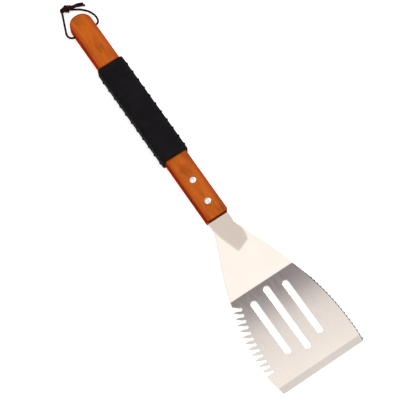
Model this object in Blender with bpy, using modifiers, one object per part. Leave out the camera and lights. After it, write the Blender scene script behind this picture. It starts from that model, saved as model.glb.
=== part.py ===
"""A grill turner: slotted stainless blade, wooden handle, rubber grip sleeve and a leather hanging thong.

Metres, +Z up. The turner lies on its back: Z = 0 is the surface that it rests on, under the blade's
bend and under the grip sleeve. +Y runs from the handle's round butt to the blade's front edge, X = 0
is the handle's centre line, and the comb teeth are on the +X side. Y = 0 is halfway along.
"""

import math

import bmesh
import bpy
from mathutils import Matrix, Vector

# Handle
HANDLE_LENGTH = 0.2600
HANDLE_WIDTH = 0.0245
HANDLE_THICKNESS = 0.0150
HANDLE_EDGE_RADIUS = 0.0020
BUTT_CORNER_RADIUS = 0.0112
FRONT_CORNER_RADIUS = 0.0022
THONG_HOLE_DIAMETER = 0.0045
THONG_HOLE_FROM_BUTT = 0.0178

# Grip sleeve
SLEEVE_LENGTH = 0.1205
SLEEVE_FROM_FRONT = 0.0748
SLEEVE_WALL = 0.0023
RIB_COUNT = 11
RIB_PITCH = 0.01046
RIB_HEIGHT = 0.0008
RIB_WIDTH = 0.0036
FIRST_RIB_FROM_FRONT = 0.0061

# Stainless head: one sheet that is tang, neck and blade
SHEET = 0.0015
TANG_LENGTH = 0.0850
TANG_SIDE_MARGIN = 0.0007
NECK_LENGTH = 0.0768
NECK_STRAIGHT = 0.0118
NECK_FLARE_END = 0.0585
FLARE_END_HALF_WIDTH = 0.0313
NECK_CORNER_RADIUS = 0.0140
FLARE_CORNER_RADIUS = 0.1200
NECK_BEND_RADIUS = 0.0100
ROUND_BEND_LIFT = 0.00010
BLADE_LENGTH = 0.1041
BLADE_PITCH = math.radians(5.0)
BLADE_BEND_RADIUS = 0.0030
BEND_HALF_WIDTH = 0.0367
FRONT_HALF_WIDTH = 0.0464
FRONT_CORNER_LEFT = 0.0012
FRONT_CORNER_RIGHT = 0.0025
FRONT_BEVEL_DEPTH = 0.0068
FRONT_EDGE_THICKNESS = 0.0005

# Slots in the blade
SLOT_WIDTH = 0.0065
SLOT_SPACING = 0.0187
MIDDLE_SLOT = (0.0053, 0.0817)
SIDE_SLOT = (0.0110, 0.0753)

# Comb on the +X edge: notches along an arc
NOTCH_COUNT = 12
NOTCH_PITCH = 0.00656
NOTCH_DEPTH = 0.0094
NOTCH_END_RADIUS = 0.0020
NOTCH_RAKE = math.radians(13.0)
TOOTH_TIP = 0.0008
COMB_REACH = 0.0498
COMB_ARC_RADIUS = 0.2000
COMB_WIDEST = 0.0720
COMB_START = 0.0049

# Serrated edge on the -X side: scallops along an arc
SCALLOP_COUNT = 19
SCALLOP_DEPTH = 0.0008
SAW_REACH = 0.0485
SAW_ARC_RADIUS = 0.2700
SAW_WIDEST = 0.0773
SAW_START = 0.0192
SAW_END = 0.1012

# Rivets, from the handle's front end
RIVET_FROM_FRONT = (0.0179, 0.0441)
RIVET_SHANK = 0.0045
RIVET_HEAD = 0.0070
RIVET_HEAD_HEIGHT = 0.0008
RIVET_DIMPLE = 0.0018
RIVET_DIMPLE_DEPTH = 0.0004

# Thong
LACE = 0.0022
KNOT_SIZE = (0.0124, 0.0078, 0.0062)
KNOT_BEHIND_HOLE = 0.0347
KNOT_TURN = math.radians(-34.5)

GAP = 0.0003
LACE_LOWEST = LACE / 2 + 0.0001

# Where things lie
TURNER_LENGTH = HANDLE_LENGTH + NECK_LENGTH + BLADE_LENGTH
HANDLE_FRONT = HANDLE_LENGTH - TURNER_LENGTH / 2
HANDLE_BUTT = HANDLE_FRONT - HANDLE_LENGTH
HANDLE_HALF = HANDLE_WIDTH / 2
BUTT_RADIUS = min(BUTT_CORNER_RADIUS, HANDLE_HALF - GAP)
HANDLE_MIDDLE = HANDLE_THICKNESS / 2 + GAP + SLEEVE_WALL + RIB_HEIGHT
THONG_HOLE = Vector((0.0, HANDLE_BUTT + THONG_HOLE_FROM_BUTT, HANDLE_MIDDLE))
TANG_HALF = HANDLE_HALF - TANG_SIDE_MARGIN
NECK_SLOPE = math.asin((HANDLE_MIDDLE - SHEET / 2 + ROUND_BEND_LIFT) / NECK_LENGTH)
KNOT_CENTRE = Vector((0.0, THONG_HOLE.y - KNOT_BEHIND_HOLE, KNOT_SIZE[2] / 2 + 0.00005))

# The thong's route, each point as (x in half widths of the handle, y from the hole's axis in metres,
# height from 0 where the lace lies down to 1 at the hole). Each side leaves the hole, drops to the
# surface and runs round behind the butt to the knot; the two cut ends come out of the knot.
LEFT_ROUTE = (
    (0.012, 0.0000, 1.000),
    (0.500, 0.0000, 1.000),
    (1.000, 0.0000, 1.000),
    (1.210, -0.0008, 0.970),
    (1.370, -0.0032, 0.820),
    (1.420, -0.0072, 0.530),
    (1.345, -0.0116, 0.240),
    (1.200, -0.0161, 0.060),
    (1.055, -0.0206, 0.000),
    (0.915, -0.0248, 0.000),
    (0.785, -0.0287, 0.000),
    (0.670, -0.0323, 0.010),
    (0.570, -0.0355, 0.070),
)
RIGHT_ROUTE = (
    (-0.012, 0.0000, 1.000),
    (-0.500, 0.0000, 1.000),
    (-1.000, 0.0000, 1.000),
    (-1.215, -0.0006, 0.980),
    (-1.400, -0.0028, 0.840),
    (-1.525, -0.0072, 0.570),
    (-1.570, -0.0122, 0.270),
    (-1.510, -0.0172, 0.070),
    (-1.350, -0.0216, 0.000),
    (-1.090, -0.0254, 0.000),
    (-0.790, -0.0286, 0.010),
    (-0.500, -0.0311, 0.100),
)
LEFT_TAIL = (
    (-0.440, -0.0366, 0.110),
    (-0.640, -0.0362, 0.040),
    (-0.900, -0.0350, 0.000),
    (-1.180, -0.0336, 0.000),
    (-1.400, -0.0321, 0.000),
)
RIGHT_TAIL = (
    (-0.500, -0.0340, 0.110),
    (-0.700, -0.0335, 0.040),
    (-0.950, -0.0322, 0.000),
    (-1.220, -0.0308, 0.000),
    (-1.450, -0.0292, 0.000),
)


def clear_scene():
    for obj in list(bpy.data.objects):
        bpy.data.objects.remove(obj)


def new_collection(name, hidden=False):
    collection = bpy.data.collections.new(name)
    collection.hide_render = hidden
    bpy.context.scene.collection.children.link(collection)
    return collection


def new_material(name, colour, roughness, metallic=0.0):
    material = bpy.data.materials.new(name)
    material.use_nodes = True
    shader = material.node_tree.nodes["Principled BSDF"]
    shader.inputs["Base Color"].default_value = (*colour, 1.0)
    shader.inputs["Roughness"].default_value = roughness
    shader.inputs["Metallic"].default_value = metallic
    return material


def object_of(bm, name, collection, material=None, smooth_angle=None):
    """Turns a bmesh into an object in the collection."""
    bmesh.ops.recalc_face_normals(bm, faces=bm.faces)
    mesh = bpy.data.meshes.new(name)
    bm.to_mesh(mesh)
    bm.free()
    obj = bpy.data.objects.new(name, mesh)
    collection.objects.link(obj)
    if material:
        mesh.materials.append(material)
    if smooth_angle:
        mesh.shade_smooth()
        mesh.set_sharp_from_angle(angle=math.radians(smooth_angle))
    return obj


def cutter(bm, name, target, cutters):
    """Cuts the bmesh's solid from the target."""
    tool = object_of(bm, name, cutters)
    tool.display_type = "WIRE"
    tool.hide_render = True
    cut = target.modifiers.new(name, "BOOLEAN")
    cut.operation = "DIFFERENCE"
    cut.solver = "EXACT"
    cut.object = tool
    return tool


def cylinder(radius, length, centre, axis, segments=20):
    bm = bmesh.new()
    turn = Vector((0, 0, 1)).rotation_difference(Vector(axis)).to_matrix().to_4x4()
    bmesh.ops.create_cone(
        bm,
        cap_ends=True,
        segments=segments,
        radius1=radius,
        radius2=radius,
        depth=length,
        matrix=Matrix.Translation(centre) @ turn,
    )
    return bm


def arc(centre, radius, start, end, count):
    """count + 1 points on an arc, angles in radians."""
    return [
        Vector((centre[0] + radius * math.cos(a), centre[1] + radius * math.sin(a)))
        for a in (start + (end - start) * i / count for i in range(count + 1))
    ]


def rounded(corners, segments=6):
    """Points of an open line through (x, y, radius) corners, each corner filleted by its radius."""
    points = []
    for i, (x, y, radius) in enumerate(corners):
        here = Vector((x, y))
        if i in (0, len(corners) - 1) or not radius:
            points.append(here)
            continue
        back = (Vector(corners[i - 1][:2]) - here).normalized()
        ahead = (Vector(corners[i + 1][:2]) - here).normalized()
        half = back.angle(ahead) / 2
        centre = here + (back + ahead).normalized() * (radius / math.sin(half))
        first = here + back * (radius / math.tan(half)) - centre
        last = here + ahead * (radius / math.tan(half)) - centre
        sweep = first.angle_signed(last)
        for step in range(segments + 1):
            turned = Matrix.Rotation(-sweep * step / segments, 2) @ first
            points.append(centre + turned)
    return points


def sheet_mesh(name, loops, thickness, collection):
    """A flat outline with holes, cut from sheet: a filled 2D curve, extruded, then made a welded bmesh."""
    curve = bpy.data.curves.new(name, "CURVE")
    curve.dimensions = "2D"
    curve.fill_mode = "BOTH"
    curve.extrude = thickness / 2
    for loop in loops:
        spline = curve.splines.new("POLY")
        spline.points.add(len(loop) - 1)
        for point, at in zip(spline.points, loop):
            point.co = (at[0], at[1], 0.0, 1.0)
        spline.use_cyclic_u = True
    flat = bpy.data.objects.new(name, curve)
    collection.objects.link(flat)
    graph = bpy.context.evaluated_depsgraph_get()
    mesh = bpy.data.meshes.new_from_object(flat.evaluated_get(graph))
    bm = bmesh.new()
    bm.from_mesh(mesh)
    bmesh.ops.remove_doubles(bm, verts=bm.verts, dist=1e-6)
    bpy.data.objects.remove(flat)
    bpy.data.curves.remove(curve)
    bpy.data.meshes.remove(mesh)
    return bm


# --- Handle ---


def handle_outline():
    """Plan of the handle: a square front end with small corners and a full round butt."""
    half, front, butt = HANDLE_HALF, HANDLE_FRONT, HANDLE_BUTT
    corners = [
        (0.0, front, 0.0),
        (half, front, FRONT_CORNER_RADIUS),
        (half, butt, BUTT_RADIUS),
        (-half, butt, BUTT_RADIUS),
        (-half, front, FRONT_CORNER_RADIUS),
        (0.0, front, 0.0),
    ]
    return rounded(corners, segments=8)[:-1]


def make_handle(parts, cutters, wood):
    bm = sheet_mesh("handle", [handle_outline()], HANDLE_THICKNESS, parts)
    bmesh.ops.dissolve_limit(bm, angle_limit=math.radians(0.5), verts=bm.verts, edges=bm.edges)
    bmesh.ops.translate(bm, verts=bm.verts, vec=(0, 0, HANDLE_MIDDLE))
    handle = object_of(bm, "handle", parts, wood, smooth_angle=35)
    edges = handle.modifiers.new("rounded edges", "BEVEL")
    edges.width = HANDLE_EDGE_RADIUS
    edges.segments = 3
    edges.use_clamp_overlap = False
    edges.limit_method = "ANGLE"
    edges.angle_limit = math.radians(60)

    kerf_length = TANG_LENGTH + GAP
    kerf = bmesh.new()
    bmesh.ops.create_cube(kerf, size=1.0)
    bmesh.ops.scale(kerf, verts=kerf.verts, vec=(HANDLE_WIDTH * 2, kerf_length * 2, SHEET + 2 * GAP))
    bmesh.ops.translate(kerf, verts=kerf.verts, vec=(0, HANDLE_FRONT, HANDLE_MIDDLE))
    cutter(kerf, "kerf_cutter", handle, cutters)
    for number, place in enumerate(RIVET_FROM_FRONT):
        centre = (0, HANDLE_FRONT - place, HANDLE_MIDDLE)
        hole = cylinder(RIVET_SHANK / 2 + GAP, HANDLE_THICKNESS * 2, centre, (0, 0, 1))
        cutter(hole, f"rivet_hole_cutter_{number + 1}", handle, cutters)
    hole = cylinder(THONG_HOLE_DIAMETER / 2, HANDLE_WIDTH * 2, THONG_HOLE, (1, 0, 0))
    cutter(hole, "thong_hole_cutter", handle, cutters)


# --- Stainless head ---


def on_sheet(along):
    """(y, z, angle) of the sheet's middle, a distance along it from the handle's front end."""
    up_turn = NECK_SLOPE + BLADE_PITCH
    neck_arc = NECK_BEND_RADIUS * NECK_SLOPE
    blade_arc = BLADE_BEND_RADIUS * up_turn
    y, z, angle = HANDLE_FRONT - TANG_LENGTH, HANDLE_MIDDLE, 0.0
    left = along + TANG_LENGTH
    runs = (
        (TANG_LENGTH, 0.0),
        (neck_arc, -NECK_SLOPE),
        (NECK_LENGTH - neck_arc - blade_arc / 2, 0.0),
        (blade_arc, up_turn),
        (BLADE_LENGTH, 0.0),
    )
    for length, turn in runs:
        step = min(left, length)
        if turn:
            radius = length / turn
            end = angle + step / radius
            y += radius * (math.sin(end) - math.sin(angle))
            z += radius * (math.cos(angle) - math.cos(end))
            angle = end
        else:
            y += step * math.cos(angle)
            z += step * math.sin(angle)
        left -= step
        if left <= 0:
            break
    return y, z, angle


def notch(index):
    """The outline of one comb notch, from its corner nearer the handle to the one nearer the front."""
    centre = Vector((COMB_REACH - COMB_ARC_RADIUS, NECK_LENGTH + COMB_WIDEST))
    start = math.asin((COMB_START - COMB_WIDEST) / COMB_ARC_RADIUS)
    mouth = NOTCH_PITCH - TOOTH_TIP
    middle = start + (mouth / 2 + index * NOTCH_PITCH) / COMB_ARC_RADIUS
    outward = Vector((math.cos(middle), math.sin(middle)))
    inward = Matrix.Rotation(-NOTCH_RAKE, 2) @ -outward
    end = centre + outward * COMB_ARC_RADIUS + inward * (NOTCH_DEPTH - NOTCH_END_RADIUS)
    corners = [
        centre + COMB_ARC_RADIUS * Vector((math.cos(a), math.sin(a)))
        for a in (middle - mouth / 2 / COMB_ARC_RADIUS, middle + mouth / 2 / COMB_ARC_RADIUS)
    ]
    facing = math.atan2(inward.y, inward.x)
    # The round end meets each side wall where the wall from the mouth's corner is tangent to it.
    sides = []
    for corner, sign in zip(corners, (1, -1)):
        away = corner - end
        lean = math.acos(NOTCH_END_RADIUS / away.length)
        sides.append(math.atan2(away.y, away.x) + sign * lean)
    first, last = ((side - facing) % (2 * math.pi) for side in sides)
    first, last = min(first, last), max(first, last) - 2 * math.pi
    turn_one, turn_two = facing + first, facing + last
    curve = arc(end, NOTCH_END_RADIUS, turn_one, turn_two, 7)
    if (curve[0] - corners[0]).length > (curve[-1] - corners[0]).length:
        curve.reverse()
    return [corners[0], *curve, corners[1]]


def scallops():
    """The serrated edge, from its end at the front corner back towards the handle, on the -X side."""
    centre = Vector((SAW_ARC_RADIUS - SAW_REACH, NECK_LENGTH + SAW_WIDEST))
    first = math.asin((SAW_END - SAW_WIDEST) / SAW_ARC_RADIUS)
    last = math.asin((SAW_START - SAW_WIDEST) / SAW_ARC_RADIUS)
    points = []
    per_scallop = 4
    for i in range(SCALLOP_COUNT * per_scallop + 1):
        share = i / (SCALLOP_COUNT * per_scallop)
        angle = math.pi - (first + (last - first) * share)
        bite = SCALLOP_DEPTH * math.sin(math.pi * (i % per_scallop) / per_scallop)
        reach = SAW_ARC_RADIUS - bite
        points.append(centre + reach * Vector((math.cos(angle), math.sin(angle))))
    return points


def head_outline():
    """The sheet's flat outline, x across and y along it from the handle's front end."""
    front = NECK_LENGTH + BLADE_LENGTH
    comb = [point for index in range(NOTCH_COUNT) for point in notch(index)]
    tang_to_blade = [
        (0.0, -TANG_LENGTH, 0.0),
        (TANG_HALF, -TANG_LENGTH, 0.001),
        (TANG_HALF, NECK_STRAIGHT, NECK_CORNER_RADIUS),
        (FLARE_END_HALF_WIDTH, NECK_FLARE_END, FLARE_CORNER_RADIUS),
        (BEND_HALF_WIDTH, NECK_LENGTH, 0.0),
    ]
    left = rounded(tang_to_blade)[1:]
    saw = scallops()
    right = [Vector((-point.x, point.y)) for point in reversed(left)]
    corner_line = [
        (comb[-1].x, comb[-1].y, 0.0),
        (FRONT_HALF_WIDTH, front, FRONT_CORNER_LEFT),
        (-FRONT_HALF_WIDTH, front, FRONT_CORNER_RIGHT),
        (saw[0].x, saw[0].y, 0.0),
    ]
    return left + comb[:-1] + rounded(corner_line, 4)[:-1] + saw + right


def slot(x, ends):
    """One slot's outline, with round ends."""
    radius = SLOT_WIDTH / 2
    low, high = NECK_LENGTH + ends[0] + radius, NECK_LENGTH + ends[1] - radius
    far = arc((x, high), radius, 0.0, math.pi, 8)
    near = arc((x, low), radius, math.pi, 2 * math.pi, 8)
    return far + near


def make_head(parts, cutters, steel):
    """Cuts the flat blank, folds it at the two bends, and thins the blade's front edge."""
    rivet_holes = [
        arc((0.0, -place), RIVET_SHANK / 2 + GAP, 0.0, 2 * math.pi * 15 / 16, 15)
        for place in RIVET_FROM_FRONT
    ]
    slots = [
        slot(-SLOT_SPACING, SIDE_SLOT),
        slot(0.0, MIDDLE_SLOT),
        slot(SLOT_SPACING, SIDE_SLOT),
    ]
    bm = sheet_mesh("head", [head_outline(), *slots, *rivet_holes], SHEET, parts)
    up_turn = NECK_SLOPE + BLADE_PITCH
    neck_arc = NECK_BEND_RADIUS * NECK_SLOPE
    blade_arc = BLADE_BEND_RADIUS * up_turn
    folds = [neck_arc * i / 3 for i in range(4)]
    folds += [NECK_LENGTH + blade_arc * (i / 4 - 0.5) for i in range(5)]
    bevel_start = NECK_LENGTH + BLADE_LENGTH - FRONT_BEVEL_DEPTH
    for along in (*folds, bevel_start):
        everything = bm.verts[:] + bm.edges[:] + bm.faces[:]
        bmesh.ops.bisect_plane(
            bm, geom=everything, dist=1e-7, plane_co=(0, along, 0), plane_no=(0, 1, 0)
        )
    for vert in bm.verts:
        across, along, lift = vert.co
        y, z, angle = on_sheet(along)
        if lift > 0 and along > bevel_start:
            ground = (along - bevel_start) / FRONT_BEVEL_DEPTH
            lift -= (SHEET - FRONT_EDGE_THICKNESS) * ground
        vert.co = (across, y - lift * math.sin(angle), z + lift * math.cos(angle))
    bmesh.ops.triangulate(bm, faces=bm.faces)
    object_of(bm, "head", parts, steel, smooth_angle=25)


# --- Rivets ---


def make_rivet(name, place, parts, aluminium):
    """A solid rivet with two low domed heads, each with a small centre dimple."""
    top = HANDLE_THICKNESS / 2 + GAP
    head, shank, dimple = RIVET_HEAD / 2, RIVET_SHANK / 2, RIVET_DIMPLE / 2
    upper = [
        (0.0, top + RIVET_HEAD_HEIGHT - RIVET_DIMPLE_DEPTH),
        (dimple * 0.5, top + RIVET_HEAD_HEIGHT - RIVET_DIMPLE_DEPTH),
        (dimple, top + RIVET_HEAD_HEIGHT),
        (head * 0.62, top + RIVET_HEAD_HEIGHT * 0.92),
        (head * 0.88, top + RIVET_HEAD_HEIGHT * 0.62),
        (head, top + RIVET_HEAD_HEIGHT * 0.2),
        (head, top),
        (shank, top),
    ]
    profile = upper + [(x, -z) for x, z in reversed(upper)]
    mesh = bpy.data.meshes.new(name)
    edges = [(i, i + 1) for i in range(len(profile) - 1)]
    mesh.from_pydata([(x, 0.0, z) for x, z in profile], edges, [])
    rivet = bpy.data.objects.new(name, mesh)
    rivet.location = (0.0, HANDLE_FRONT - place, HANDLE_MIDDLE)
    parts.objects.link(rivet)
    mesh.materials.append(aluminium)
    turned = rivet.modifiers.new("turned", "SCREW")
    turned.steps = turned.render_steps = 24
    turned.use_merge_vertices = True
    turned.merge_threshold = 0.00001
    turned.use_smooth_shade = True


# --- Grip sleeve ---


def rounded_rectangle(half_width, half_height, corner, segments=4):
    points = []
    for quarter, (sx, sy) in enumerate(((1, 1), (-1, 1), (-1, -1), (1, -1))):
        centre = (sx * (half_width - corner), sy * (half_height - corner))
        points += arc(centre, corner, quarter * math.pi / 2, (quarter + 1) * math.pi / 2, segments)
    return points


def rib_stations():
    """(distance from the sleeve's front end, height over the plain wall), in order."""
    stations = [(0.0, -0.0006), (0.0010, 0.0)]
    for rib in range(RIB_COUNT):
        middle = FIRST_RIB_FROM_FRONT + rib * RIB_PITCH
        stations += [
            (middle - RIB_WIDTH / 2, 0.0),
            (middle - RIB_WIDTH / 6, RIB_HEIGHT),
            (middle + RIB_WIDTH / 6, RIB_HEIGHT),
            (middle + RIB_WIDTH / 2, 0.0),
        ]
    return stations + [(SLEEVE_LENGTH - 0.0010, 0.0), (SLEEVE_LENGTH, -0.0006)]


def make_sleeve(parts, rubber):
    """A tube of the handle's section, extruded, with its outer wall raised into rings round it."""
    half, high, corner = HANDLE_HALF + GAP, HANDLE_THICKNESS / 2 + GAP, HANDLE_EDGE_RADIUS + GAP
    walls = [
        rounded_rectangle(half + grow, high + grow, corner + grow) for grow in (SLEEVE_WALL, 0.0)
    ]
    bm = sheet_mesh("grip_sleeve", walls, SLEEVE_LENGTH, parts)
    stations = rib_stations()
    for along, _ in stations[1:-1]:
        everything = bm.verts[:] + bm.edges[:] + bm.faces[:]
        level = (0, 0, SLEEVE_LENGTH / 2 - along)
        bmesh.ops.bisect_plane(bm, geom=everything, dist=1e-7, plane_co=level, plane_no=(0, 0, 1))
    for vert in bm.verts:
        along = SLEEVE_LENGTH / 2 - vert.co.z
        height = min(stations, key=lambda station: abs(station[0] - along))[1]
        core_x = max(corner - half, min(half - corner, vert.co.x))
        core_y = max(corner - high, min(high - corner, vert.co.y))
        outward = Vector((vert.co.x - core_x, vert.co.y - core_y, 0.0))
        if outward.length > corner + SLEEVE_WALL / 2:
            vert.co += outward.normalized() * height
    bmesh.ops.rotate(bm, verts=bm.verts, cent=(0, 0, 0), matrix=Matrix.Rotation(-math.pi / 2, 3, "X"))
    middle = (0.0, HANDLE_FRONT - SLEEVE_FROM_FRONT - SLEEVE_LENGTH / 2, HANDLE_MIDDLE)
    bmesh.ops.translate(bm, verts=bm.verts, vec=middle)
    object_of(bm, "grip_sleeve", parts, rubber, smooth_angle=40)


# --- Thong ---


def route_points(route):
    """The route's points in metres."""
    return [
        Vector(
            (
                x * HANDLE_HALF,
                THONG_HOLE.y + y,
                LACE_LOWEST + height * (HANDLE_MIDDLE - LACE_LOWEST),
            )
        )
        for x, y, height in route
    ]


def smooth_line(points, spacing):
    """Points about spacing apart on a Catmull-Rom curve through the given ones."""
    padded = [2 * points[0] - points[1], *points, 2 * points[-1] - points[-2]]
    fine = []
    per_span = 24
    for a, b, c, d in zip(padded, padded[1:], padded[2:], padded[3:]):
        for step in range(per_span):
            t = step / per_span
            fine.append(
                0.5
                * (
                    2 * b
                    + (c - a) * t
                    + (2 * a - 5 * b + 4 * c - d) * t**2
                    + (3 * b - a - 3 * c + d) * t**3
                )
            )
    fine.append(points[-1])
    lengths = [0.0]
    for before, after in zip(fine, fine[1:]):
        lengths.append(lengths[-1] + (after - before).length)
    count = max(2, round(lengths[-1] / spacing))
    line, at = [], 0
    for i in range(count + 1):
        wanted = lengths[-1] * i / count
        while at < len(fine) - 2 and lengths[at + 1] < wanted:
            at += 1
        span = lengths[at + 1] - lengths[at]
        line.append(fine[at].lerp(fine[at + 1], (wanted - lengths[at]) / span))
    return line


def make_lace(name, route, parent, parts, leather):
    curve = bpy.data.curves.new(name, "CURVE")
    curve.dimensions = "3D"
    curve.bevel_depth = LACE / 2
    curve.bevel_resolution = 2
    curve.use_fill_caps = True
    spline = curve.splines.new("POLY")
    line = smooth_line(route_points(route), 2 * LACE)
    spline.points.add(len(line) - 1)
    for point, at in zip(spline.points, line):
        point.co = (*(at - parent.location), 1.0)
    lace = bpy.data.objects.new(name, curve)
    lace.parent = parent
    curve.materials.append(leather)
    parts.objects.link(lace)


def make_knot(parent, parts, leather):
    bm = bmesh.new()
    bmesh.ops.create_uvsphere(bm, u_segments=16, v_segments=10, radius=0.5)
    bmesh.ops.scale(bm, verts=bm.verts, vec=KNOT_SIZE)
    bmesh.ops.rotate(bm, verts=bm.verts, cent=(0, 0, 0), matrix=Matrix.Rotation(KNOT_TURN, 3, "Z"))
    bmesh.ops.translate(bm, verts=bm.verts, vec=KNOT_CENTRE - parent.location)
    knot = object_of(bm, "thong_knot", parts, leather, smooth_angle=60)
    knot.parent = parent


def main():
    clear_scene()
    parts = new_collection("grill_spatula")
    cutters = new_collection("cutters", hidden=True)
    steel = new_material("steel", (0.62, 0.60, 0.58), 0.30, metallic=1.0)
    wood = new_material("wood", (0.55, 0.15, 0.02), 0.35)
    aluminium = new_material("aluminium", (0.80, 0.79, 0.77), 0.35, metallic=1.0)
    rubber = new_material("rubber", (0.012, 0.011, 0.012), 0.60)
    leather = new_material("leather", (0.055, 0.022, 0.014), 0.60)

    make_head(parts, cutters, steel)
    make_handle(parts, cutters, wood)
    for name, place in zip(("rivet_front", "rivet_rear"), RIVET_FROM_FRONT):
        make_rivet(name, place, parts, aluminium)
    make_sleeve(parts, rubber)

    pivot = bpy.data.objects.new("thong_pivot", None)
    pivot.location = THONG_HOLE
    parts.objects.link(pivot)
    make_lace("thong_left", LEFT_ROUTE, pivot, parts, leather)
    make_lace("thong_right", RIGHT_ROUTE, pivot, parts, leather)
    make_lace("thong_tail_left", LEFT_TAIL, pivot, parts, leather)
    make_lace("thong_tail_right", RIGHT_TAIL, pivot, parts, leather)
    make_knot(pivot, parts, leather)


main()
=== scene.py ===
"""The grill turner as it looks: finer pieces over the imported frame, materials, studio and camera.

Metres, in the frame's own axes: +Y towards the blade's front edge, +Z up, the comb on the +X side.
"""

import math

import bmesh
import bpy
from mathutils import Matrix, Vector, noise


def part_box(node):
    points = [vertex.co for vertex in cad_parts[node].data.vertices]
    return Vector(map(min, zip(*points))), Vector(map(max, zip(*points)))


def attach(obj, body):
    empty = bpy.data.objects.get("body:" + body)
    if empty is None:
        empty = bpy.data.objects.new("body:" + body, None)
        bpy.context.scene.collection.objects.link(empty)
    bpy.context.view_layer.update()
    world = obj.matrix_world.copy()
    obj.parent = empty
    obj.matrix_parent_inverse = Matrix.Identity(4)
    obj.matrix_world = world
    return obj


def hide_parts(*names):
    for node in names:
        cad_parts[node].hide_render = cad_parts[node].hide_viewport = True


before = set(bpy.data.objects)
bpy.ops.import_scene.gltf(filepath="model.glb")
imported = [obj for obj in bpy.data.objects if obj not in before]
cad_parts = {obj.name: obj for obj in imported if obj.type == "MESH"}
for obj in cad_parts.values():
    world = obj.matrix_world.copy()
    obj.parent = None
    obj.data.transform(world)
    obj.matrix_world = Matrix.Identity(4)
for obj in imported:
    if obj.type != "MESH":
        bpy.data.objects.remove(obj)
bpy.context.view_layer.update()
scene = bpy.context.scene

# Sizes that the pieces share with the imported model
HANDLE_WIDTH = 0.0245
HANDLE_THICKNESS = 0.0150
HANDLE_EDGE_RADIUS = 0.0020
BUTT_CORNER_RADIUS = 0.0112
FRONT_CORNER_RADIUS = 0.0022
THONG_HOLE_DIAMETER = 0.0045
THONG_HOLE_FROM_BUTT = 0.0178
SLEEVE_WALL = 0.0023
RING_COUNT = 11
RING_PITCH = 0.01046
RING_HEIGHT = 0.0008
FIRST_RING_FROM_FRONT = 0.0061
SHEET = 0.0015
TANG_LENGTH = 0.0850
NECK_LENGTH = 0.0768
LACE = 0.0022
GAP = 0.0003

# Where things lie
HANDLE_LOW, HANDLE_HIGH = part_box("handle")
HANDLE_FRONT = HANDLE_HIGH.y
HANDLE_BUTT = HANDLE_LOW.y
HANDLE_MIDDLE = (HANDLE_LOW.z + HANDLE_HIGH.z) / 2
HANDLE_HALF = HANDLE_WIDTH / 2
SLEEVE_LOW, SLEEVE_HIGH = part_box("grip_sleeve")
HOLE = Vector((0.0, HANDLE_BUTT + THONG_HOLE_FROM_BUTT, HANDLE_MIDDLE))
LACE_LOWEST = LACE / 2 + 0.0001

WELD_DISTANCE = 1e-6


# --- Node helpers ---


class Nodes:
    """A node tree, with short calls that add nodes to it and return their outputs."""

    # A Mix node's colour sockets, by number, as its sockets share names
    MIX_FIRST = 6
    MIX_SECOND = 7
    MIX_RESULT = 2

    def __init__(self, tree):
        self.tree = tree

    def add(self, kind, inputs=None, **settings):
        """A new node, with each input linked or set, by the input's name or number."""
        node = self.tree.nodes.new(kind)
        for key, value in settings.items():
            setattr(node, key, value)
        for key, value in (inputs or {}).items():
            self.put(node.inputs[key], value)
        return node

    def put(self, socket, value):
        if isinstance(value, bpy.types.NodeSocket):
            self.tree.links.new(value, socket)
        else:
            socket.default_value = value

    def coordinate(self, kind):
        return self.add("ShaderNodeTexCoord").outputs[kind]

    def axes_of(self, vector):
        return self.add("ShaderNodeSeparateXYZ", {"Vector": vector}).outputs

    def math(self, operation, *values):
        return self.add("ShaderNodeMath", dict(enumerate(values)), operation=operation).outputs[0]

    def noise(self, scale, detail, roughness=0.5, distortion=0.0):
        """Noise over the object's own coordinates, stretched by scale."""
        stretch = {"Vector": self.coordinate("Object"), "Scale": scale}
        inputs = {
            "Vector": self.add("ShaderNodeMapping", stretch).outputs["Vector"],
            "Scale": 1.0,
            "Detail": detail,
            "Roughness": roughness,
            "Distortion": distortion,
        }
        return self.add("ShaderNodeTexNoise", inputs).outputs["Fac"]

    def ramp(self, factor, stops):
        node = self.add("ShaderNodeValToRGB", {"Fac": factor})
        elements = node.color_ramp.elements
        while len(elements) < len(stops):
            elements.new(0.5)
        for element, (position, colour) in zip(elements, stops):
            element.position = position
            element.color = (*colour, 1.0)
        return node.outputs["Color"]

    def mix(self, factor, first, second, kind="MIX"):
        inputs = {"Factor": factor, self.MIX_FIRST: first, self.MIX_SECOND: second}
        node = self.add("ShaderNodeMix", inputs, data_type="RGBA", blend_type=kind)
        return node.outputs[self.MIX_RESULT]

    def spread(self, value, low, high, to_low, to_high, kind="LINEAR"):
        inputs = {
            "Value": value,
            "From Min": low,
            "From Max": high,
            "To Min": to_low,
            "To Max": to_high,
        }
        return self.add("ShaderNodeMapRange", inputs, interpolation_type=kind).outputs["Result"]

    def bump(self, height, strength, distance, normal=None):
        inputs = {"Height": height, "Strength": strength, "Distance": distance}
        if normal:
            inputs["Normal"] = normal
        return self.add("ShaderNodeBump", inputs).outputs["Normal"]

    def facing(self, axis, signed=False):
        """How far the surface faces along an axis: 0 to 1 for either way, or -1 to 1 if signed."""
        part = self.axes_of(self.coordinate("Normal"))[axis]
        return part if signed else self.math("ABSOLUTE", part)

    def painted_corner_shade(self, distance, tint):
        """Painted shade: white in the open, and the tint where the surface is hemmed in, from ambient
        occlusion.
        """
        open_air = self.add("ShaderNodeAmbientOcclusion", {"Distance": distance}).outputs["AO"]
        return self.ramp(open_air, [(0.40, tint), (0.90, (1.0, 1.0, 1.0))])


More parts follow.
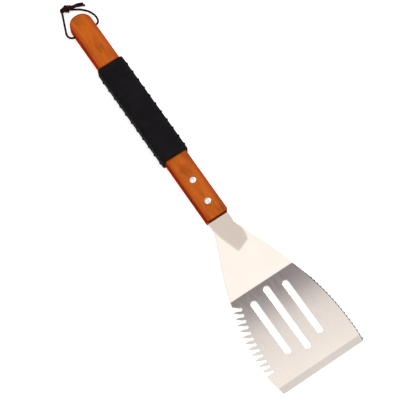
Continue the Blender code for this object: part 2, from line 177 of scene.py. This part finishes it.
class MaterialNodes(Nodes):
    """The nodes of a new material, which ends in a Principled shader."""

    def __init__(self, name):
        self.material = bpy.data.materials.new(name)
        self.material.use_nodes = True
        super().__init__(self.material.node_tree)
        self.shader = self.tree.nodes["Principled BSDF"]

    def finish(self, **sockets):
        """Sets the shader's sockets, with underscores for the spaces in their names."""
        for name, value in sockets.items():
            self.put(self.shader.inputs[name.replace("_", " ")], value)
        return self.material


# --- Materials ---

# The serrated edge: its arc on the -X side, and the ground strip along it, where shade is painted
SAW_ARC_RADIUS = 0.2700
SAW_REACH = 0.0485
SAW_WIDEST_Y = 0.19345
SAW_START_Y = 0.1352
STRIP_WIDTH = 0.0013
STRIP_FADE = 0.0003


def serrated_strip(n):
    """Where the serrated edge's shade is painted: 1 along the ground strip of the serrated edge, 0
    elsewhere.
    """
    where = n.coordinate("Object")
    x, y, _ = n.axes_of(where)
    flat = n.add("ShaderNodeCombineXYZ", {"X": x, "Y": y}).outputs[0]
    centre = (SAW_ARC_RADIUS - SAW_REACH, SAW_WIDEST_Y, 0.0)
    reach = n.add("ShaderNodeVectorMath", {0: flat, 1: centre}, operation="DISTANCE").outputs["Value"]
    inner = SAW_ARC_RADIUS - STRIP_WIDTH
    near_edge = n.spread(reach, inner - STRIP_FADE, inner, 0.0, 1.0)
    past_start = n.spread(y, SAW_START_Y, SAW_START_Y + 0.0005, 0.0, 1.0)
    minus_side = n.spread(x, 0.0, 0.001, 1.0, 0.0)
    return n.math("MULTIPLY", n.math("MULTIPLY", near_edge, past_start), minus_side)


def steel_material():
    """Polished stainless sheet with a faint grain along the turner, and painted shade on its sheared edges
    and along the serrated edge.
    """
    n = MaterialNodes("stainless")
    grain = n.noise((900.0, 60.0, 900.0), 3.0)
    cloud = n.noise((22.0, 22.0, 22.0), 4.0)
    specks = n.noise((420.0, 420.0, 420.0), 5.0, 0.6)
    face = n.ramp(cloud, [(0.3, (0.700, 0.645, 0.590)), (0.7, (0.735, 0.680, 0.625))])
    # Painted shade: the cut edges, which face sideways, get a much darker colour than the faces
    edge = n.ramp(specks, [(0.3, (0.20, 0.18, 0.17)), (0.7, (0.34, 0.31, 0.29))])
    colour = n.mix(n.spread(n.facing("Z"), 0.72, 0.93, 0.0, 1.0), edge, face)
    # Painted shade: a still darker strip along the serrated edge
    painted_strip_shade = n.ramp(specks, [(0.3, (0.07, 0.065, 0.065)), (0.7, (0.15, 0.14, 0.14))])
    colour = n.mix(serrated_strip(n), colour, painted_strip_shade)
    rough = n.spread(grain, 0.3, 0.7, 0.06, 0.09)
    fine = n.bump(grain, 0.04, 0.00002)
    normal = n.bump(specks, 0.02, 0.00002, fine)
    return n.finish(Base_Color=colour, Metallic=1.0, Roughness=rough, Normal=normal)


def wood_material():
    """Stained hardwood, grain along the handle, with sides, long edges and sawn front end darker from stain
    and painted shade, and painted shade in its corners.
    """
    n = MaterialNodes("stained_wood")
    warp = n.noise((55.0, 24.0, 55.0), 4.0, 0.6)
    bands = n.noise((230.0, 22.0, 260.0), 6.0, 0.66, 1.6)
    pores = n.noise((1300.0, 120.0, 1300.0), 3.0, 0.6)
    base = n.ramp(
        bands,
        [
            (0.25, (0.355, 0.068, 0.0060)),
            (0.48, (0.455, 0.096, 0.0080)),
            (0.75, (0.545, 0.132, 0.0120)),
        ],
    )
    shade = n.ramp(warp, [(0.32, (0.66, 0.62, 0.75)), (0.50, (1.0, 0.98, 1.0)), (0.72, (1.12, 1.10, 0.9))])
    toned = n.mix(1.0, base, shade, "MULTIPLY")
    dots = n.ramp(pores, [(0.28, (0.68, 0.58, 0.5)), (0.42, (1.0, 1.0, 1.0))])
    toned = n.mix(0.7, toned, dots, "MULTIPLY")
    # Stain build-up and painted shade: redder and darker towards the long edges
    off_centre = n.math("ABSOLUTE", n.axes_of(n.coordinate("Object"))["X"])
    edge_stain_and_shade = n.mix(1.0, toned, (0.80, 0.62, 1.0, 1.0), "MULTIPLY")
    toned = n.mix(n.spread(off_centre, 0.0070, 0.0112, 0.0, 1.0), toned, edge_stain_and_shade)
    # Stain and end grain, and painted shade: the sides and the sawn front end are darker
    side = n.mix(1.0, toned, (0.84, 0.32, 0.14, 1.0), "MULTIPLY")
    end = n.mix(1.0, toned, (0.42, 0.16, 0.12, 1.0), "MULTIPLY")
    colour = n.mix(n.spread(n.facing("X"), 0.35, 0.85, 0.0, 1.0), toned, side)
    colour = n.mix(n.spread(n.facing("Y", signed=True), 0.80, 0.97, 0.0, 1.0), colour, end)
    # Painted shade where the wood is hemmed in: by the sleeve, the rivets, the kerf and the hole
    colour = n.mix(1.0, colour, n.painted_corner_shade(0.0030, (0.22, 0.12, 0.10)), "MULTIPLY")
    rough = n.spread(bands, 0.3, 0.7, 0.55, 0.42)
    normal = n.bump(pores, 0.25, 0.00008)
    sheen = n.spread(n.facing("Z"), 0.4, 0.95, 0.0, 0.06)
    return n.finish(Base_Color=colour, Roughness=rough, Normal=normal, Specular_IOR_Level=sheen)


def rubber_material():
    """Black moulded rubber with a fine pebbled skin."""
    n = MaterialNodes("black_rubber")
    pebbles = {"Vector": n.coordinate("Object"), "Scale": 1500.0}
    pebble = n.add("ShaderNodeTexVoronoi", pebbles).outputs["Distance"]
    cloud = n.noise((60.0, 60.0, 60.0), 4.0)
    dust = n.noise((700.0, 700.0, 700.0), 4.0)
    skin = n.ramp(cloud, [(0.3, (0.0066, 0.0058, 0.0066)), (0.7, (0.0092, 0.0080, 0.0092))])
    # Painted shade in the dimples and beside the rings
    colour = n.mix(1.0, skin, n.painted_corner_shade(0.0020, (0.25, 0.25, 0.25)), "MULTIPLY")
    rough = n.spread(dust, 0.3, 0.7, 0.70, 0.90)
    normal = n.bump(pebble, 0.35, 0.00015)
    return n.finish(Base_Color=colour, Roughness=rough, Normal=normal, Specular_IOR_Level=0.05)


def aluminium_material():
    """Bright rivet metal with fine scratches, with painted shade in the corner round the head."""
    n = MaterialNodes("rivet_metal")
    scratch = n.noise((1200.0, 1200.0, 1200.0), 4.0)
    bright = n.ramp(scratch, [(0.3, (0.72, 0.70, 0.68)), (0.7, (0.84, 0.82, 0.80))])
    colour = n.mix(1.0, bright, n.painted_corner_shade(0.0012, (0.22, 0.20, 0.19)), "MULTIPLY")
    rough = n.spread(scratch, 0.3, 0.7, 0.24, 0.38)
    normal = n.bump(scratch, 0.12, 0.00005)
    return n.finish(Base_Color=colour, Metallic=1.0, Roughness=rough, Normal=normal)


def leather_material():
    """Dull dark brown leather with worn fibres."""
    n = MaterialNodes("leather_lace")
    fibre = n.noise((700.0, 700.0, 700.0), 5.0, 0.65)
    patch = n.noise((160.0, 160.0, 160.0), 3.0)
    dark = n.ramp(patch, [(0.3, (0.014, 0.0045, 0.0040)), (0.7, (0.040, 0.012, 0.010))])
    worn = n.ramp(fibre, [(0.35, (0.7, 0.66, 0.64)), (0.7, (1.25, 1.2, 1.15))])
    colour = n.mix(1.0, dark, worn, "MULTIPLY")
    normal = n.bump(fibre, 0.5, 0.0002)
    rough = n.spread(fibre, 0.3, 0.7, 0.55, 0.75)
    return n.finish(Base_Color=colour, Roughness=rough, Normal=normal, Specular_IOR_Level=0.02)


def floor_material():
    """A pale floor that glows a little, so that it is nearly white under soft light."""
    n = MaterialNodes("pale_floor")
    cloud = n.noise((3.0, 3.0, 3.0), 3.0)
    colour = n.ramp(cloud, [(0.3, (0.69, 0.69, 0.69)), (0.7, (0.72, 0.72, 0.72))])
    return n.finish(
        Base_Color=colour,
        Roughness=0.9,
        Specular_IOR_Level=0.0,
        Emission_Color=(1.0, 1.0, 1.0, 1.0),
        Emission_Strength=0.6,
    )


def card_material():
    """A grey card that glows, so that it looks the same from every side."""
    n = MaterialNodes("grey_card")
    cloud = n.noise((9.0, 9.0, 9.0), 2.0)
    glow = n.ramp(cloud, [(0.3, (0.905, 0.840, 0.800)), (0.7, (0.935, 0.870, 0.830))])
    return n.finish(
        Base_Color=(0.0, 0.0, 0.0, 1.0),
        Specular_IOR_Level=0.0,
        Emission_Color=glow,
        Emission_Strength=1.0,
    )


# --- Mesh helpers ---


def link(obj):
    scene.collection.objects.link(obj)
    return obj


def mesh_from(name, bm):
    """A mesh of the bmesh's faces, turned outwards. It frees the bmesh."""
    bmesh.ops.recalc_face_normals(bm, faces=bm.faces)
    mesh = bpy.data.meshes.new(name)
    bm.to_mesh(mesh)
    bm.free()
    return mesh


def mesh_object(name, bm, material, angle=35):
    """An object of the bmesh, smooth but for the edges sharper than angle, in degrees."""
    mesh = mesh_from(name, bm)
    mesh.materials.append(material)
    mesh.shade_smooth()
    mesh.set_sharp_from_angle(angle=math.radians(angle))
    return link(bpy.data.objects.new(name, mesh))


def piece_of(obj, body, slot, *nodes):
    """Hangs the object on the body's empty and hides the nodes that it stands for."""
    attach(obj, body)
    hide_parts(*nodes)


def apply_modifiers(obj):
    graph = bpy.context.evaluated_depsgraph_get()
    mesh = bpy.data.meshes.new_from_object(obj.evaluated_get(graph))
    obj.modifiers.clear()
    obj.data = mesh


def cut_by(target, bm, name):
    """Cuts the bmesh's solid from the target."""
    tool = link(bpy.data.objects.new(name, mesh_from(name, bm)))
    cut = target.modifiers.new(name, "BOOLEAN")
    cut.operation = "DIFFERENCE"
    cut.solver = "EXACT"
    cut.object = tool
    apply_modifiers(target)
    bpy.data.objects.remove(tool)


def arc(centre, radius, start, end, count):
    """Points along an arc, count + 1 of them."""
    turns = [start + (end - start) * i / count for i in range(count + 1)]
    return [Vector((centre[0] + radius * math.cos(t), centre[1] + radius * math.sin(t))) for t in turns]


def lengths_along(points):
    """How far along the line each of its points is."""
    lengths = [0.0]
    for before, after in zip(points, points[1:]):
        lengths.append(lengths[-1] + (after - before).length)
    return lengths


def even_points(points, distances):
    """The points of a line that lie at the given rising distances along it."""
    lengths = lengths_along(points)
    found = []
    at = 0
    for wanted in distances:
        while at < len(points) - 2 and lengths[at + 1] < wanted:
            at += 1
        share = (wanted - lengths[at]) / (lengths[at + 1] - lengths[at])
        found.append(points[at].lerp(points[at + 1], share))
    return found


# --- Stainless head ---

EASED_EDGE = 0.00024
FLAT_FACE_AREA = 0.0003


def make_head(material):
    """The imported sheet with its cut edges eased, and its large faces shaded flat."""
    bm = bmesh.new()
    bm.from_mesh(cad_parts["head"].data)
    bmesh.ops.remove_doubles(bm, verts=bm.verts, dist=WELD_DISTANCE)
    bmesh.ops.dissolve_limit(bm, angle_limit=math.radians(0.3), verts=bm.verts, edges=bm.edges)
    head = mesh_object("head_sheet", bm, material)
    eased = head.modifiers.new("eased edges", "BEVEL")
    eased.width = EASED_EDGE
    eased.segments = 2
    eased.limit_method = "ANGLE"
    eased.angle_limit = math.radians(50)
    eased.use_clamp_overlap = True
    apply_modifiers(head)
    head.data.set_sharp_from_angle(angle=math.radians(18))
    for face in head.data.polygons:
        if face.area > FLAT_FACE_AREA:
            face.use_smooth = False
    piece_of(head, "turner", "steel", "head")


# --- Wooden handle ---

HANDLE_CORNER_STEPS = 14
HANDLE_EDGE_STEPS = 6


def handle_ring(inset):
    """The handle's plan outline, moved in by inset."""
    half = HANDLE_HALF - inset
    front = HANDLE_FRONT - inset
    butt = HANDLE_BUTT + inset
    corners = (
        (1, front, -1, FRONT_CORNER_RADIUS),
        (-1, front, -1, FRONT_CORNER_RADIUS),
        (-1, butt, 1, BUTT_CORNER_RADIUS),
        (1, butt, 1, BUTT_CORNER_RADIUS),
    )
    points = []
    for quarter, (side, end, inward, radius) in enumerate(corners):
        radius = max(radius - inset, 0.0002)
        centre = (side * (half - radius), end + inward * radius)
        start = quarter * math.pi / 2
        points += arc(centre, radius, start, start + math.pi / 2, HANDLE_CORNER_STEPS)
    return points


def make_handle(material):
    """A bar with fully rounded edges, a sawn kerf for the tang and a cross hole for the lace."""
    radius = HANDLE_EDGE_RADIUS
    levels = []
    for step in range(HANDLE_EDGE_STEPS + 1):
        turn = math.pi / 2 * step / HANDLE_EDGE_STEPS
        levels.append((HANDLE_THICKNESS / 2 - radius * (1 - math.sin(turn)), radius * (1 - math.cos(turn))))
    levels = [(-height, inset) for height, inset in reversed(levels)] + levels
    bm = bmesh.new()
    rings = [
        [bm.verts.new((p.x, p.y, HANDLE_MIDDLE + height)) for p in handle_ring(inset)]
        for height, inset in levels
    ]
    count = len(rings[0])
    for low, high in zip(rings, rings[1:]):
        for i in range(count):
            k = (i + 1) % count
            bm.faces.new((low[i], low[k], high[k], high[i]))
    bm.faces.new(rings[0])
    bm.faces.new(rings[-1])
    handle = mesh_object("handle_bar", bm, material, angle=30)

    kerf = bmesh.new()
    bmesh.ops.create_cube(kerf, size=1.0)
    size = (HANDLE_WIDTH * 2, (TANG_LENGTH + GAP) * 2, SHEET + 2 * GAP)
    bmesh.ops.scale(kerf, verts=kerf.verts, vec=size)
    bmesh.ops.translate(kerf, verts=kerf.verts, vec=(0, HANDLE_FRONT, HANDLE_MIDDLE))
    cut_by(handle, kerf, "kerf")
    hole = bmesh.new()
    bmesh.ops.create_cone(
        hole,
        cap_ends=True,
        segments=40,
        radius1=THONG_HOLE_DIAMETER / 2,
        radius2=THONG_HOLE_DIAMETER / 2,
        depth=0.06,
        matrix=Matrix.Translation(HOLE) @ Matrix.Rotation(math.pi / 2, 4, "Y"),
    )
    cut_by(handle, hole, "hole")
    handle.data.set_sharp_from_angle(angle=math.radians(30))
    piece_of(handle, "turner", "wood", "handle")


# --- Grip sleeve ---

SLEEVE_LENGTH = SLEEVE_HIGH.y - SLEEVE_LOW.y
SLEEVE_COLUMNS = 132
SLEEVE_ROWS = 300
RING_HALF_WIDTH = 0.0019
SLEEVE_END_DEPTH = 0.0009
SLEEVE_END_LENGTH = 0.0012
DIMPLE_COLUMNS = 14
DIMPLE_DEPTH = 0.00045
DIMPLE_RADIUS = 0.0010


def sleeve_section(grow):
    """(point, way out) at even spaces round the sleeve's bore, grown, and the distance round it."""
    half = HANDLE_HALF + GAP
    high = HANDLE_THICKNESS / 2 + GAP
    corner = HANDLE_EDGE_RADIUS + GAP
    outline = []
    for quarter, (sx, sz) in enumerate(((1, 1), (-1, 1), (-1, -1), (1, -1))):
        centre = (sx * (half - corner), sz * (high - corner))
        outline += arc(centre, corner + grow, quarter * math.pi / 2, (quarter + 1) * math.pi / 2, 16)
    outline.append(outline[0])
    round_it = lengths_along(outline)[-1]
    section = []
    for point in even_points(outline, [round_it * i / SLEEVE_COLUMNS for i in range(SLEEVE_COLUMNS)]):
        core_x = max(corner - half, min(half - corner, point.x))
        core_z = max(corner - high, min(high - corner, point.y))
        section.append((point, (point - Vector((core_x, core_z))).normalized()))
    return section, round_it


def ring_lift(along):
    """How far the nearest ring stands out, this far from the sleeve's front end."""
    nearest = round((along - FIRST_RING_FROM_FRONT) / RING_PITCH)
    ring_at = FIRST_RING_FROM_FRONT + max(0, min(RING_COUNT - 1, nearest)) * RING_PITCH
    away = abs(along - ring_at)
    if away >= RING_HALF_WIDTH:
        return 0.0
    return RING_HEIGHT * (0.5 + 0.5 * math.cos(math.pi * away / RING_HALF_WIDTH))


def end_drop(along):
    """How far the skin falls away at the sleeve's rounded ends."""
    end = min(along, SLEEVE_LENGTH - along)
    if end >= SLEEVE_END_LENGTH:
        return 0.0
    return SLEEVE_END_DEPTH * (1 - math.sqrt(1 - (1 - end / SLEEVE_END_LENGTH) ** 2))


def dimple_drop(along, share, round_it):
    """How deep a dimple is here, at this share of the way round the section."""
    rings = (along - FIRST_RING_FROM_FRONT) / RING_PITCH
    if not 0 <= round(rings) < RING_COUNT:
        return 0.0
    between = FIRST_RING_FROM_FRONT + (math.floor(rings) + 0.5) * RING_PITCH
    column = (share * DIMPLE_COLUMNS) % 1.0 - 0.5
    reach = math.hypot(column * round_it / DIMPLE_COLUMNS, along - between)
    return DIMPLE_DEPTH * math.exp(-((reach / DIMPLE_RADIUS) ** 2))


def make_sleeve(material):
    """The moulded sleeve: rings round it, and rows of small dimples between the rings."""
    outer, round_it = sleeve_section(SLEEVE_WALL)
    bm = bmesh.new()
    rings = []
    for row in range(SLEEVE_ROWS + 1):
        along = SLEEVE_LENGTH * row / SLEEVE_ROWS
        lift = ring_lift(along) - end_drop(along)
        verts = []
        for i, (point, outward) in enumerate(outer):
            moved = point + outward * (lift - dimple_drop(along, i / SLEEVE_COLUMNS, round_it))
            verts.append(bm.verts.new((moved.x, SLEEVE_HIGH.y - along, HANDLE_MIDDLE + moved.y)))
        rings.append(verts)
    inner, _ = sleeve_section(0.0)
    for y in (SLEEVE_LOW.y, SLEEVE_HIGH.y):
        rings.append([bm.verts.new((point.x, y, HANDLE_MIDDLE + point.y)) for point, _ in inner])
    for here, after in zip(rings, rings[1:] + rings[:1]):
        for j in range(SLEEVE_COLUMNS):
            k = (j + 1) % SLEEVE_COLUMNS
            bm.faces.new((here[j], here[k], after[k], after[j]))
    sleeve = mesh_object("sleeve_skin", bm, material, angle=50)
    piece_of(sleeve, "turner", "rubber", "grip_sleeve")


# --- Rivets ---

RIVET_HEAD_RADIUS = 0.0035
RIVET_HEAD_HEIGHT = 0.0010
RIVET_SHANK_RADIUS = 0.0022
RIVET_DIMPLE_RADIUS = 0.0009
RIVET_DIMPLE_DEPTH = 0.0004


def rivet_profile():
    """(radius, height) from the top of the rivet's axis down to the bottom."""
    under_head = HANDLE_THICKNESS / 2 + 0.00005
    rim = under_head + RIVET_HEAD_HEIGHT
    upper = [(0.0, rim - RIVET_DIMPLE_DEPTH)]
    for i in range(1, 6):
        turn = math.pi / 2 * i / 5
        upper.append((RIVET_DIMPLE_RADIUS * i / 5, rim - RIVET_DIMPLE_DEPTH * math.cos(turn)))
    for i in range(1, 11):
        turn = math.pi / 2 * i / 10
        radius = RIVET_DIMPLE_RADIUS + (RIVET_HEAD_RADIUS - RIVET_DIMPLE_RADIUS) * math.sin(turn)
        upper.append((radius, under_head + RIVET_HEAD_HEIGHT * math.cos(turn) ** 0.8))
    upper += [(RIVET_HEAD_RADIUS, under_head), (RIVET_SHANK_RADIUS, under_head)]
    return upper + [(radius, -height) for radius, height in reversed(upper)]


def make_rivets(material):
    """Two set rivets: low domes, each with a small dimple in its middle."""
    for name, node in (("rivet_front_metal", "rivet_front"), ("rivet_rear_metal", "rivet_rear")):
        low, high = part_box(node)
        bm = bmesh.new()
        verts = [bm.verts.new((radius, 0.0, height)) for radius, height in rivet_profile()]
        edges = [bm.edges.new(pair) for pair in zip(verts, verts[1:])]
        bmesh.ops.spin(
            bm,
            geom=verts + edges,
            cent=(0, 0, 0),
            axis=(0, 0, 1),
            angle=2 * math.pi,
            steps=56,
            use_merge=True,
        )
        bmesh.ops.remove_doubles(bm, verts=bm.verts, dist=WELD_DISTANCE)
        bmesh.ops.translate(bm, verts=bm.verts, vec=(0.0, (low.y + high.y) / 2, HANDLE_MIDDLE))
        rivet = mesh_object(name, bm, material, angle=45)
        piece_of(rivet, "turner", "aluminium", node)


# --- Thong: the two strands of one lace, tied behind the butt ---

# Each point is (x in half widths of the handle, y from the hole, height from 0 where the lace lies to 1
# at the hole)
LEFT_ROUTE = (
    (0.012, 0.0000, 1.000),
    (0.500, 0.0000, 1.000),
    (1.000, 0.0000, 1.000),
    (1.210, -0.0008, 0.970),
    (1.370, -0.0032, 0.820),
    (1.420, -0.0072, 0.530),
    (1.345, -0.0116, 0.240),
    (1.200, -0.0161, 0.060),
    (1.055, -0.0206, 0.000),
    (0.915, -0.0248, 0.000),
    (0.785, -0.0287, 0.000),
    (0.670, -0.0323, 0.010),
    (0.570, -0.0355, 0.070),
)
RIGHT_ROUTE = (
    (-0.012, 0.0000, 1.000),
    (-0.500, 0.0000, 1.000),
    (-1.000, 0.0000, 1.000),
    (-1.215, -0.0006, 0.980),
    (-1.400, -0.0028, 0.840),
    (-1.525, -0.0072, 0.570),
    (-1.570, -0.0122, 0.270),
    (-1.510, -0.0172, 0.070),
    (-1.350, -0.0216, 0.000),
    (-1.090, -0.0254, 0.000),
    (-0.790, -0.0286, 0.010),
)
# The cut ends, where they have left the knot: the right strand's and the left strand's
FAR_TAIL = (
    (-0.900, -0.0350, 0.000),
    (-1.180, -0.0336, 0.000),
    (-1.400, -0.0321, 0.000),
)
NEAR_TAIL = (
    (-0.700, -0.0335, 0.020),
    (-0.950, -0.0322, 0.000),
    (-1.220, -0.0308, 0.000),
    (-1.450, -0.0292, 0.000),
)

KNOT = Vector((0.0, HOLE.y - 0.0347, 0.0))
KNOT_TURN = math.radians(-34.5)
KNOT_MIDDLE = 0.0034
# Points in the knot are (along its length towards +X, across it, up from the surface)
LEFT_CORE = (
    (0.0050, -0.0011, KNOT_MIDDLE),
    (0.0018, -0.0011, KNOT_MIDDLE),
    (-0.0018, -0.0011, KNOT_MIDDLE),
    (-0.0050, -0.0011, KNOT_MIDDLE),
)
RIGHT_CORE = (
    (-0.0068, 0.0008, KNOT_MIDDLE),
    (-0.0030, 0.0008, KNOT_MIDDLE),
    (0.0010, 0.0008, KNOT_MIDDLE),
)
RIGHT_TURN_BACK = (
    (0.0046, -0.0002, 0.0032),
    (0.0068, 0.0006, 0.0028),
    (0.0074, 0.0024, 0.0026),
    (0.0060, 0.0036, 0.0028),
)
RIGHT_WAY_OUT = (
    (-0.0034, -0.0034, 0.0020),
    (-0.0056, -0.0046, 0.0013),
)
WRAP_TURNS = 2.5
WRAP_STEPS = 8
WRAP_START = 0.0042
WRAP_PITCH = 0.0024
WRAP_HALF_WIDTH = 0.0033
WRAP_HALF_HEIGHT = 0.0022

STRAND_STEPS = 20
STRAND_SPACING = 0.0007
STRAND_UNEVENNESS = 0.05


def route(points):
    """The route's points in the frame."""
    rise = HANDLE_MIDDLE - LACE_LOWEST
    return [Vector((x * HANDLE_HALF, HOLE.y + y, LACE_LOWEST + height * rise)) for x, y, height in points]


def in_knot(points):
    """The knot's points in the frame."""
    turn = Matrix.Rotation(KNOT_TURN, 3, "Z")
    return [KNOT + turn @ Vector(point) for point in points]


def knot_wraps():
    """A strand wound round the two in the core, from the +X end."""
    points = []
    for i in range(int(WRAP_TURNS * WRAP_STEPS) + 1):
        angle = 2 * math.pi * i / WRAP_STEPS
        along = WRAP_START - WRAP_PITCH * i / WRAP_STEPS
        up = KNOT_MIDDLE + WRAP_HALF_HEIGHT * math.sin(angle)
        points.append((along, WRAP_HALF_WIDTH * math.cos(angle), up))
    return points


def smooth_line(points):
    """Evenly spaced points on a Catmull-Rom curve through the given ones, and the curve's length."""
    ends = [2 * points[0] - points[1], *points, 2 * points[-1] - points[-2]]
    fine = []
    for a, b, c, d in zip(ends, ends[1:], ends[2:], ends[3:]):
        for step in range(STRAND_STEPS):
            t = step / STRAND_STEPS
            first = 2 * b + (c - a) * t + (2 * a - 5 * b + 4 * c - d) * t**2
            fine.append(0.5 * (first + (3 * b - a - 3 * c + d) * t**3))
    fine.append(points[-1])
    length = lengths_along(fine)[-1]
    count = max(2, round(length / STRAND_SPACING))
    return even_points(fine, [length * i / count for i in range(count + 1)]), length


def lace_piece(name, line, material):
    """A round lace along the line, a little uneven in thickness."""
    curve = bpy.data.curves.new(name, "CURVE")
    curve.dimensions = "3D"
    curve.bevel_depth = LACE / 2
    curve.bevel_resolution = 4
    curve.use_fill_caps = True
    spline = curve.splines.new("POLY")
    spline.points.add(len(line) - 1)
    for i, (point, at) in enumerate(zip(spline.points, line)):
        point.co = (*at, 1.0)
        point.radius = 1.0 + STRAND_UNEVENNESS * noise.noise(Vector((i * 0.21, 3.7, 1.3)))
    spline.use_smooth = True
    curve.materials.append(material)
    return link(bpy.data.objects.new(name, curve))


def make_thong(material):
    """Both strands, from the middle of the hole: the right one is tied round the left one."""
    left = route(LEFT_ROUTE) + in_knot(LEFT_CORE) + route(NEAR_TAIL)
    right = route(RIGHT_ROUTE) + in_knot([*RIGHT_CORE, *RIGHT_TURN_BACK, *knot_wraps(), *RIGHT_WAY_OUT])
    right += route(FAR_TAIL)
    for name, side, points, nodes in (
        ("lace_left", 1, left, ("thong_left", "thong_tail_right")),
        ("lace_right", -1, right, ("thong_right", "thong_tail_left", "thong_knot")),
    ):
        line, length = smooth_line(points)
        piece = lace_piece(name, line, material)
        piece_of(piece, "thong", "leather", *nodes)


# --- Camera, light and floor ---

CAMERA_PLACE = (0.2575, 0.42053, 1.43501)
CAMERA_TURN_DEGREES = (18.5581, 0.6436, 146.1311)
CAMERA_LENS = 137.24

KEY_PLACE = Vector((-1.6, -0.5, 1.3))
KEY_WIDTH = 0.9
KEY_WATTS = 18.0

# The tent's colour against a direction's y plus TENT_LEAN of its x, which makes its bands lean a little
TENT_LEAN = 0.12
TENT = (
    (-1.000, (0.80, 0.80, 0.80)),
    (-0.524, (0.85, 0.85, 0.85)),
    (-0.454, (0.24, 0.22, 0.25)),
    (-0.393, (0.30, 0.28, 0.31)),
    (-0.379, (0.24, 0.22, 0.25)),
    (-0.370, (0.91, 0.89, 0.92)),
    (-0.360, (1.14, 1.12, 1.13)),
    (-0.343, (1.16, 1.14, 1.13)),
    (-0.334, (1.31, 1.29, 1.28)),
    (-0.124, (0.98, 0.97, 0.98)),
    (-0.036, (0.92, 0.91, 0.92)),
    (-0.006, (1.40, 1.39, 1.38)),
    (0.276, (1.46, 1.45, 1.44)),
    (1.000, (0.90, 0.90, 0.90)),
)
# The world's ramp holds the tent's colours divided by this, which keeps them under 1. High up, the
# world's strength makes up for it. Below TENT_HIGH_Z it falls, to TENT_LOW_STRENGTH at TENT_LOW_Z.
TENT_SCALE = 2.0
TENT_LOW_STRENGTH = 0.9
TENT_LOW_Z = 0.30
TENT_HIGH_Z = 0.75

# Where the neck reflects the grey card's corners: (x, distance from the handle's front end)
CARD_REFLECTION = (
    (0.0160, -0.0150),
    (0.0095, 0.0180),
    (0.0017, 0.0390),
    (-0.0130, 0.0335),
    (-0.0200, -0.0150),
)
CARD_HEIGHT = 0.06

FLOOR_HALF_WIDTH = 40.0
FLOOR_Z = -0.0003


def make_camera():
    data = bpy.data.cameras.new("camera")
    data.sensor_width = 36.0
    data.lens = CAMERA_LENS
    data.clip_start = 0.01
    data.clip_end = 50.0
    camera = link(bpy.data.objects.new("camera", data))
    camera.location = CAMERA_PLACE
    camera.rotation_euler = [math.radians(angle) for angle in CAMERA_TURN_DEGREES]
    scene.camera = camera


def make_key_light():
    """A square light high on the -X side, aimed at the frame's origin and unseen by the camera."""
    data = bpy.data.lights.new("key", "AREA")
    data.shape = "SQUARE"
    data.size = KEY_WIDTH
    data.energy = KEY_WATTS
    light = link(bpy.data.objects.new("key", data))
    light.location = KEY_PLACE
    light.rotation_euler = (-KEY_PLACE).to_track_quat("-Z", "Y").to_euler()
    light.visible_camera = False


def make_world():
    """A white tent, greyer low down, with one grey gap that the blade reflects just past its bend."""
    world = bpy.data.worlds.new("studio")
    world.use_nodes = True
    scene.world = world
    n = Nodes(world.node_tree)
    x, y, z = n.axes_of(n.coordinate("Generated"))
    place = n.spread(n.math("MULTIPLY_ADD", x, TENT_LEAN, y), -1.0, 1.0, 0.0, 1.0)
    stops = [((at + 1) / 2, [channel / TENT_SCALE for channel in colour]) for at, colour in TENT]
    strength = n.spread(z, TENT_LOW_Z, TENT_HIGH_Z, TENT_LOW_STRENGTH, TENT_SCALE, "SMOOTHSTEP")
    back = n.tree.nodes["Background"]
    n.put(back.inputs["Color"], n.ramp(place, stops))
    n.put(back.inputs["Strength"], strength)


def make_floor(material):
    bm = bmesh.new()
    bmesh.ops.create_grid(bm, x_segments=4, y_segments=4, size=FLOOR_HALF_WIDTH)
    floor = mesh_object("floor", bm, material)
    floor.location.z = FLOOR_Z


def make_card(material):
    """A grey card over the neck, seen only as its reflection in the steel."""
    slope = math.asin((HANDLE_MIDDLE - SHEET / 2) / NECK_LENGTH)
    normal = Vector((0.0, math.sin(slope), math.cos(slope)))
    bm = bmesh.new()
    corners = []
    for x, along in CARD_REFLECTION:
        spot = Vector((x, HANDLE_FRONT + along, HANDLE_MIDDLE - along * math.tan(slope)))
        seen = (spot - scene.camera.location).normalized()
        up = seen - 2 * seen.dot(normal) * normal
        corners.append(bm.verts.new(spot + up * (CARD_HEIGHT / up.z)))
    bm.faces.new(corners)
    card = mesh_object("grey_card", bm, material)
    for ray in ("camera", "diffuse", "shadow", "transmission", "volume_scatter"):
        setattr(card, "visible_" + ray, False)


scene.view_settings.view_transform = "Standard"
make_camera()
make_world()
make_key_light()
make_floor(floor_material())
make_card(card_material())

make_thong(leather_material())
make_head(steel_material())
make_handle(wood_material())
make_sleeve(rubber_material())
make_rivets(aluminium_material())
